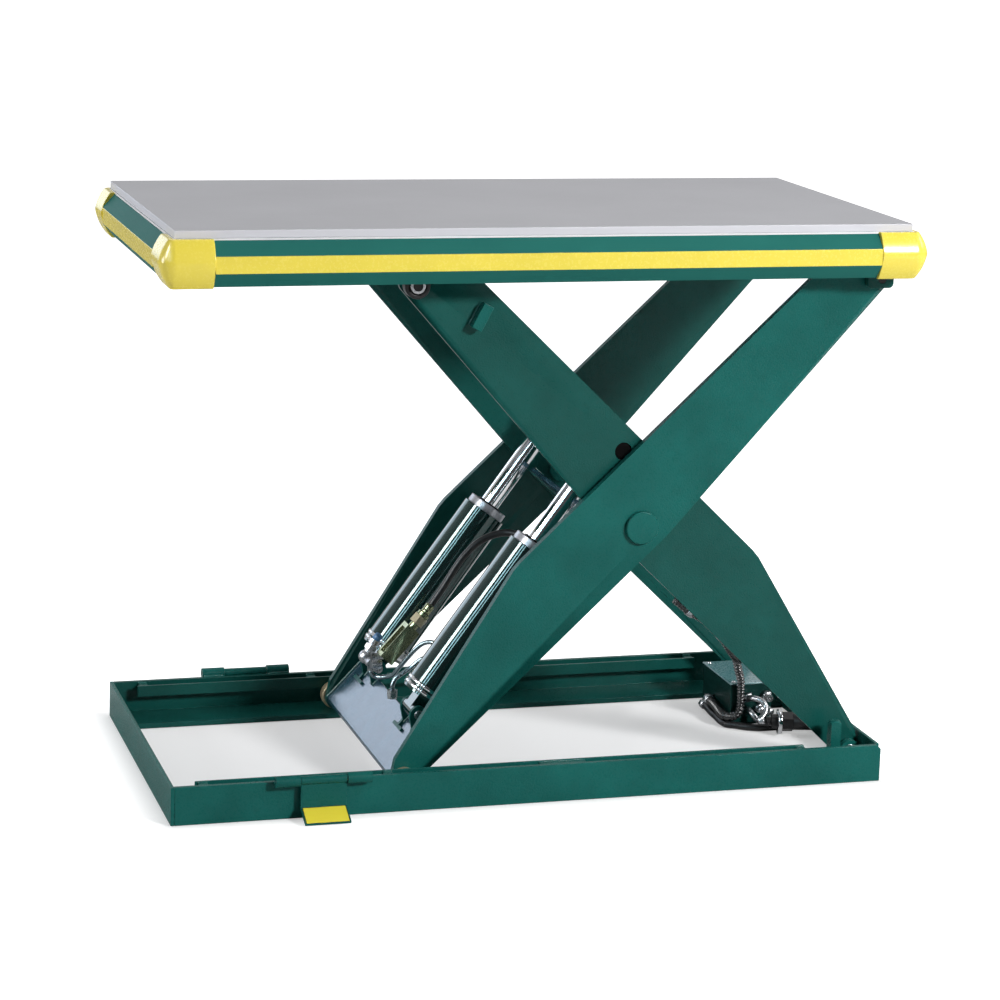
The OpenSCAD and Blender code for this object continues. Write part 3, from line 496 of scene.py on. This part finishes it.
def lathe(bm, profile, place, axis, sides=40, ring=False):
    """Turns (radius, height) pairs round an axis through place; a ring has an open bore."""
    axis = Vector(axis).normalized()
    side = axis.cross(Vector((0, 1, 0)) if abs(axis.y) < 0.9 else Vector((1, 0, 0))).normalized()
    up = axis.cross(side)
    rings = []
    for r, h in profile:
        rings.append([bm.verts.new(Vector(place) + axis * h
                                   + r * (math.cos(a) * side + math.sin(a) * up))
                      for a in (2 * math.pi * k / sides for k in range(sides))])
    for one, two in zip(rings, rings[1:] + rings[:1] if ring else rings[1:]):
        for k in range(sides):
            bm.faces.new((one[k], one[(k + 1) % sides], two[(k + 1) % sides], two[k]))
    if not ring:
        bm.faces.new(rings[0][::-1])
        bm.faces.new(rings[-1])


def slab(bm, corners, depth):
    """A flat plate: corners in order, pushed along depth."""
    low = [bm.verts.new(Vector(c)) for c in corners]
    high = [bm.verts.new(Vector(c) + Vector(depth)) for c in corners]
    n = len(low)
    bm.faces.new(low[::-1])
    bm.faces.new(high)
    for i in range(n):
        bm.faces.new((low[i], low[(i + 1) % n], high[(i + 1) % n], high[i]))


def block(bm, low, high):
    """A box between two corners."""
    (x0, y0, z0), (x1, y1, z1) = low, high
    slab(bm, [(x0, y0, z0), (x1, y0, z0), (x1, y1, z0), (x0, y1, z0)], (0, 0, z1 - z0))


def on_outer(s, w, y):
    """A point given along and across an outer leg."""
    c, t = math.cos(THETA), math.sin(THETA)
    return Vector((CENTRE.x + s * c - w * t, y, CENTRE.z + s * t + w * c))


def on_inner(s, w, y):
    """A point given along and across an inner leg."""
    c, t = math.cos(THETA), math.sin(THETA)
    return Vector((CENTRE.x - s * c + w * t, y, CENTRE.z + s * t + w * c))


def on_cylinder(t, y):
    """A point that far up a cylinder's axis."""
    return Vector((ROD_LOW.x, y, ROD_LOW.z)) + (ROD_TOP - ROD_LOW).normalized() * t


# ---- hoses, conduit and tubes ----

def mm(*points):
    """Points given in millimetres."""
    return [Vector(p) / 1000 for p in points]


VALVE_HOSE = mm((-114.2, 10, 244.5), (-101, 11, 261), (-80, 14, 290), (-60, 17, 320),
                (-42, 19, 343), (-20, 20, 363), (6, 18, 376), (32, 10, 381), (52, -8, 377),
                (54, -32, 370), (36, -54, 365), (14, -66, 364), (7, -77, 363.8),
                (6.3, -87.2, 363.8))
CROSS_TUBE = mm((-204, 22, 143.7), (-203, 21, 138), (-196, 18, 133), (-184, 8, 135),
                (-173, -8, 143), (-165, -20, 159), (-155, -30, 176), (-144, -40, 194),
                (-132, -50, 208), (-120, -62, 213), (-111.5, -72, 208), (-109.7, -80, 203.4),
                (-109.7, -87.8, 203.4))
NEAR_TUBE = mm((-187, -62, 133.2), (-187, -62, 140), (-182, -60, 151), (-168, -60, 161),
               (-154, -60, 170.5), (-141, -62, 182), (-130, -68, 189), (-121, -76, 190.6),
               (-119.1, -82, 190.4), (-119.1, -87.8, 190.4))
CONDUIT = mm((266, -198, 306), (293, -198, 284), (320, -198, 268), (349, -198, 241),
             (374, -190, 208), (398, -158, 184), (420, -100, 166), (438, -44, 156),
             (454, 0, 147), (466, 22, 131), (472, 26, 112), (479, 28, 88), (481, 28.5, 60),
             (480.5, 28, 37), (474, 29, 23), (457, 30, 21.5), (453, 50, 22), (454, 70, 24),
             (455, 90, 26), (455, 103, 27), (455, 113.7, 27))
RETURN_HOSE = mm((456, 141.7, 9.3), (456, 130, 9), (455.5, 104, 7), (455, 80, 7),
                 (453.5, 52, 7), (457, 31, 7), (470, 22, 7), (486, 9, 7), (506, 0, 7),
                 (532, -1, 7), (560, 2, 7), (584, 3, 9), (594, 3, 9.5), (602.9, 3, 9.5))


def hoses():
    """Hoses, tubes and the conduit on their routes, with the supply hose's ferrules."""
    supply_r, tube_r, return_r = 0.0062, 0.0040, 0.0064
    bm = bmesh.new()
    tube(bm, VALVE_HOSE, supply_r)
    add("supply_hose", bm, "rubber", "cylinder_barrels", replaces=["valve_hose"])
    bm = bmesh.new()
    valve_end, barrel_end = VALVE_HOSE[0], VALVE_HOSE[-1]
    lathe(bm, [(0.0078, 0), (0.0082, 0.002), (0.0082, 0.006), (0.0076, 0.007), (0.0083, 0.009),
               (0.0083, 0.016), (0.0070, 0.018)], valve_end, VALVE_HOSE[1] - valve_end, 24)
    lathe(bm, [(0.0078, 0), (0.0083, 0.002), (0.0083, 0.014), (0.0070, 0.016)],
          barrel_end, (0.1, 1, 0), 24)
    add("hose_ferrules", bm, "brass", "cylinder_barrels")
    bm = bmesh.new()
    for route in (CROSS_TUBE, NEAR_TUBE):
        tube(bm, route, tube_r, step=0.003)
    add("bent_tubes", bm, "tube", "cylinder_barrels", replaces=["cylinder_tubes"])
    bm = bmesh.new()
    tube(bm, RETURN_HOSE, return_r)
    add("floor_hose", bm, "rubber", "base", replaces=["return_hose"])

    def ribs(d):
        """The conduit's radius: even ribs with flat crests and flat valleys."""
        pitch, mean_r, depth = 0.0062, 0.0066, 0.0017
        wave = math.cos(d * 2 * math.pi / pitch)
        return mean_r + depth * max(-0.55, min(0.75, 1.4 * wave))

    bm = bmesh.new()
    tube(bm, CONDUIT, ribs, step=0.00103, sides=18)
    obj = add("ribbed_conduit", bm, "ribs", None, replaces=["cable_conduit"])
    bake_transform(obj)


def conduit_clips():
    """Two clips that hold the conduit, each a band with a tab that reaches forward."""
    half_l, reach = 0.006, Vector((0, -0.0100, 0))
    bm = bmesh.new()
    for i in (1, 3):
        spot, along = CONDUIT[i], (CONDUIT[i + 1] - CONDUIT[i - 1]).normalized()
        lathe(bm, [(0.0080, -half_l), (0.0090, -half_l), (0.0090, half_l), (0.0080, half_l)],
              spot, along, 24, ring=True)
        over = Vector((-along.z, 0, along.x)) * 0.0085
        low, high = spot + over - along * half_l, spot + over + along * half_l
        slab(bm, [low, high, high + reach, low + reach], over.normalized() * 0.0014)
    add("conduit_clips", bm, "steel", "inner_legs")


hoses()
conduit_clips()


# ---- edge bumper ----

def bumper_lip():
    """The pale seam that shows between the plate and the bumper."""
    bm = bmesh.new()
    out, t = 0.0020, 0.0019
    x, y = PLATFORM.x + out, PLATFORM.y + out
    z0, z1 = BUMPER_TOP + 0.0001, PLATE_Z
    block(bm, (-x, -y, z0), (x, -y + t, z1))
    block(bm, (-x, y - t, z0), (x, y, z1))
    block(bm, (-x, -y + t, z0), (-x + t, y - t, z1))
    block(bm, (x - t, -y + t, z0), (x, y - t, z1))
    add("bumper_lip", bm, "lip", "platform", smooth=False)


bumper_lip()


# ---- welds ----

def outer_leg_welds():
    """Beads above and below the tray's ends, and beside the clevises' ears."""
    tray_ends = (-0.583, -0.4935)
    tray_faces = (0.0168, 0.0074)
    clevis_ends = (-0.5075, -0.4925)
    clevis_top = 0.0165
    bm = bmesh.new()
    for side in (-1, 1):
        y = side * (OUTER_Y - LEG_T - 0.0008)
        for w in tray_faces:
            bead(bm, on_outer(tray_ends[0], w, y), on_outer(tray_ends[1], w, y))
        for ear in (-0.0340, -0.0250, 0.0250, 0.0340):
            ye = side * CYLINDER_Y + ear
            bead(bm, on_outer(clevis_ends[0], clevis_top, ye),
                 on_outer(clevis_ends[1], clevis_top, ye), 0.0018)
    add("outer_leg_welds", bm, "bead", "outer_legs")


def inner_leg_welds():
    """Beads above and below the torsion plate's ends, and beside the leg's lug."""
    plate_ends = (-0.148, 0.038)
    lug = Vector((-0.0976, -INNER_Y - 0.0005, 0.800))
    lug_lean = math.radians(27)
    lug_half_l, lug_half_w = 0.021, 0.0098
    bm = bmesh.new()
    for side in (-1, 1):
        y = side * (INNER_Y - LEG_T - 0.0008)
        for w0, w1 in ((-0.0175, -0.0325), (-0.0265, -0.0412)):
            bead(bm, on_inner(plate_ends[0], w0, y), on_inner(plate_ends[1], w1, y))
    lean = Vector((math.sin(lug_lean), 0, math.cos(lug_lean)))
    across = Vector((lean.z, 0, -lean.x))
    for edge in (lug - across * lug_half_w, lug + across * lug_half_w):
        bead(bm, edge - lean * lug_half_l, edge + lean * lug_half_l, 0.0022)
    add("inner_leg_welds", bm, "bead", "inner_legs")


def base_welds():
    """Beads of the prop barrels, roller guards, base ends, stop posts and hinge ears."""
    rail_top, guard_top, track_top = 0.0637, 0.0603, 0.0100
    prop_barrels = ((-0.440, -0.404), (-0.322, -0.286))
    guard_runs = ((-0.560, -0.545), (-0.255, -0.240), (0.010, 0.090), (0.465, 0.480))
    guard_sides = ((0.2948, 0.0018), (0.2752, 0.0016))
    end_x, end_low, end_top = 0.6030, 0.012, 0.062
    post_x, post_y = (0.5315, 0.5505), (0.2690, 0.2510)
    ear_x, ear_y = (0.565, 0.601), (0.2370, 0.2228)
    bm = bmesh.new()
    for side in (-1, 1):
        for x0, x1 in prop_barrels:
            bead(bm, (x0, side * PLATFORM.y, rail_top), (x1, side * PLATFORM.y, rail_top), 0.0020)
        for x0, x1 in guard_runs:
            for y, r in guard_sides:
                bead(bm, (x0, side * y, guard_top), (x1, side * y, guard_top), r)
        for x in (-end_x, end_x):
            bead(bm, (x, side * 0.2945, end_low), (x, side * 0.2945, end_top))
        bead(bm, (-end_x, side * 0.2170, 0.0098), (-end_x, side * 0.2940, 0.0098))
        for x in post_x:
            bead(bm, (x, side * post_y[0], track_top), (x, side * post_y[1], track_top), 0.0020)
        for y in ear_y:
            bead(bm, (ear_x[0], side * y, track_top), (ear_x[1], side * y, track_top), 0.0020)
    add("base_welds", bm, "bead", "base")


def platform_welds():
    """Beads above the platform's hinge ears and along its side rails."""
    ears = (0.558, 0.602, OUTER_Y + 0.0030, 0.8770, 0.0020)
    rails = (-0.60, 0.60, 0.2978, 0.9405, 0.0022)
    bm = bmesh.new()
    for side in (-1, 1):
        for x0, x1, y, z, r in (ears, rails):
            bead(bm, (x0, side * y, z), (x1, side * y, z), r)
    add("platform_welds", bm, "bead", "platform")


outer_leg_welds()
inner_leg_welds()
base_welds()
platform_welds()


# ---- props ----

def prop_labels():
    """Blank yellow stickers with a dark rim on the tabs of the maintenance props."""
    top = Vector((0, PROP_Y + 0.0025, PROP_Z - 0.044))
    low = Vector((0, PROP_Y + 0.039, PROP_Z - 0.0605))
    run = (low - top).normalized()
    out = Vector((0, -run.z, run.y))
    for side, body in ((-1, "front_prop_body"), (1, "rear_prop_body")):
        for name, mat, inset, lift in (("rim", "dark", 0.0018, 0.0002),
                                       ("face", "label", 0.0030, 0.0004)):
            a = top + run * inset + out * lift
            b = low - run * inset * 0.4 + out * lift
            x0, x1 = PROP_X - PROP_HALF_W + inset, PROP_X + PROP_HALF_W - inset
            bm = bmesh.new()
            corners = [(x0, side * a.y, a.z), (x1, side * a.y, a.z),
                       (x1, side * b.y, b.z), (x0, side * b.y, b.z)]
            slab(bm, corners, Vector((0, side * out.y, out.z)) * -0.0004)
            end = "front" if side < 0 else "rear"
            add("label_%s_%s" % (name, end), bm, mat, body, smooth=False)


prop_labels()


# ---- fittings ----

def cylinder_trim():
    """Two bands round the foot of each barrel and a wiper seal on each gland."""
    axis = ROD_TOP - ROD_LOW
    gland_end = 0.3461
    band = [(0.0400, 0), (0.0417, 0.0006), (0.0419, 0.0035), (0.0417, 0.0064),
            (0.0400, 0.0070)]
    seal = [(0.0178, 0), (0.0225, 0), (0.0218, 0.0020), (0.0190, 0.0030), (0.0178, 0.0030)]
    bm = bmesh.new()
    for side in (-1, 1):
        for t in (0.0315, 0.0405):
            lathe(bm, band, on_cylinder(t, side * CYLINDER_Y), axis, 64, ring=True)
    add("barrel_bands", bm, "chrome", "cylinder_barrels")
    bm = bmesh.new()
    for side in (-1, 1):
        lathe(bm, seal, on_cylinder(gland_end, side * CYLINDER_Y), axis, 48, ring=True)
    add("wiper_seals", bm, "dark", "cylinder_barrels")


def valve_trim():
    """A blue dust cap on the stem beside the valve, and the valve's pale nut."""
    cap = [(0.0001, 0), (0.0068, 0), (0.0074, 0.001), (0.0074, 0.009), (0.0060, 0.011),
           (0.0001, 0.0112)]
    nut = [(0.0118, 0), (0.0133, 0.0012), (0.0133, 0.0168), (0.0118, 0.018)]
    nut_at = 0.080
    bm = bmesh.new()
    lathe(bm, cap, (-0.1905, 0.046, 0.192), (0.5, -0.4, 0.75), 24)
    add("dust_cap", bm, "blue", "cylinder_barrels")
    bm = bmesh.new()
    up = Vector((math.sin(VALVE_LEAN), 0, math.cos(VALVE_LEAN)))
    lathe(bm, nut, VALVE_AT + up * nut_at, up, 6)
    add("valve_nut", bm, "beige", "cylinder_barrels", smooth=False)


def coupling_trim():
    """A bright ring and a rubber sleeve round the hose coupling."""
    line = Vector((math.cos(COUPLING_TURN), -math.sin(COUPLING_TURN), 0))
    edge = 0.0008
    for name, mat, low, high, r in (("coupling_ring", "chrome", 0.0205, 0.0275, 0.0224),
                                    ("coupling_sleeve", "rubber", 0.0475, 0.0850, 0.0146)):
        bm = bmesh.new()
        lathe(bm, [(r - edge, low), (r, low + edge), (r, high - edge), (r - edge, high)],
              COUPLING_AT, line, 48)
        add(name, bm, mat, "base")


cylinder_trim()
valve_trim()
coupling_trim()


def box_unions():
    """Two pipe unions on the front of the box and an angle piece under them."""
    box_front, ahead = 0.039, (0, -1, 0)
    stem = [(0.0062, 0.0105), (0.0066, 0.012), (0.0066, 0.020), (0.0050, 0.022)]
    angle_route = mm((500, 39, 30), (500, 28, 30), (502, 19, 26), (508, 14, 18), (516, 12, 12))
    bm = bmesh.new()
    for x, z, r in ((0.519, 0.033, 0.0090), (0.536, 0.029, 0.0078)):
        nut = [(r - 0.0010, 0), (r, 0.0012), (r, 0.0098), (r - 0.0010, 0.011)]
        lathe(bm, nut, (x, box_front, z), ahead, 6)
        lathe(bm, stem, (x, box_front, z), ahead, 24)
    tube(bm, angle_route, 0.0052, step=0.003)
    add("box_unions", bm, "steel", "base")


box_unions()


def bore_shade_discs():
    """Black discs in the legs' holes over the ends of the rods' shaft: painted shade that makes
    the bores read dark.
    """
    plug = [(0.0149, 0), (0.0149, 0.0085), (0.0138, 0.0095), (0.0085, 0.0088),
            (0.0001, 0.0086)]
    bm = bmesh.new()
    for side in (-1, 1):
        start = Vector((ROD_TOP.x, side * (INNER_Y - LEG_T + 0.0012), ROD_TOP.z))
        lathe(bm, plug, start, (0, side, 0), 40)
    add("bore_shade_discs", bm, "hole", "inner_legs")


bore_shade_discs()


# ---- floor ----

def make_floor():
    """A wide sheet of paper that glows for the camera: painted shade leaves it grey inside the
    base, and it is pure white to the camera past it.
    """
    mat = MATS["floor"]
    n, link = mat.node_tree.nodes, mat.node_tree.links
    ray = n.new("ShaderNodeLightPath")
    place = n.new("ShaderNodeTexCoord")
    fold = n.new("ShaderNodeVectorMath")
    fold.operation = "ABSOLUTE"
    past = n.new("ShaderNodeVectorMath")
    past.operation = "SUBTRACT"
    past.inputs[1].default_value = (PLATFORM.x, PLATFORM.y, 0)
    split = n.new("ShaderNodeSeparateXYZ")
    far = n.new("ShaderNodeMath")
    far.operation = "MAXIMUM"
    painted_shade_fade = n.new("ShaderNodeMapRange")
    # painted shade: distance past the base's outline over which the paper turns white, in metres
    painted_shade_fade.inputs["From Min"].default_value = -0.005
    painted_shade_fade.inputs["From Max"].default_value = 0.06
    painted_shade_fade.inputs["To Min"].default_value = 0.36
    painted_shade_fade.inputs["To Max"].default_value = 1.0
    lift = n.new("ShaderNodeMath")
    lift.operation = "MULTIPLY"
    bsdf = n["Principled BSDF"]
    bsdf.inputs["Emission Color"].default_value = (1, 1, 1, 1)
    link.new(place.outputs["Object"], fold.inputs[0])
    link.new(fold.outputs["Vector"], past.inputs[0])
    link.new(past.outputs["Vector"], split.inputs[0])
    link.new(split.outputs["X"], far.inputs[0])
    link.new(split.outputs["Y"], far.inputs[1])
    link.new(far.outputs[0], painted_shade_fade.inputs["Value"])
    link.new(painted_shade_fade.outputs["Result"], lift.inputs[1])
    link.new(ray.outputs["Is Camera Ray"], lift.inputs[0])
    # the camera-only glow is lower inside the base: painted shade under the table
    link.new(lift.outputs[0], bsdf.inputs["Emission Strength"])
    bm = bmesh.new()
    bmesh.ops.create_grid(bm, x_segments=24, y_segments=24, size=70)
    mesh = bpy.data.meshes.new("floor")
    bm.to_mesh(mesh)
    bm.free()
    mesh.materials.append(mat)
    obj = bpy.data.objects.new("floor", mesh)
    obj.location.z = -0.0005
    bpy.context.scene.collection.objects.link(obj)


make_floor()
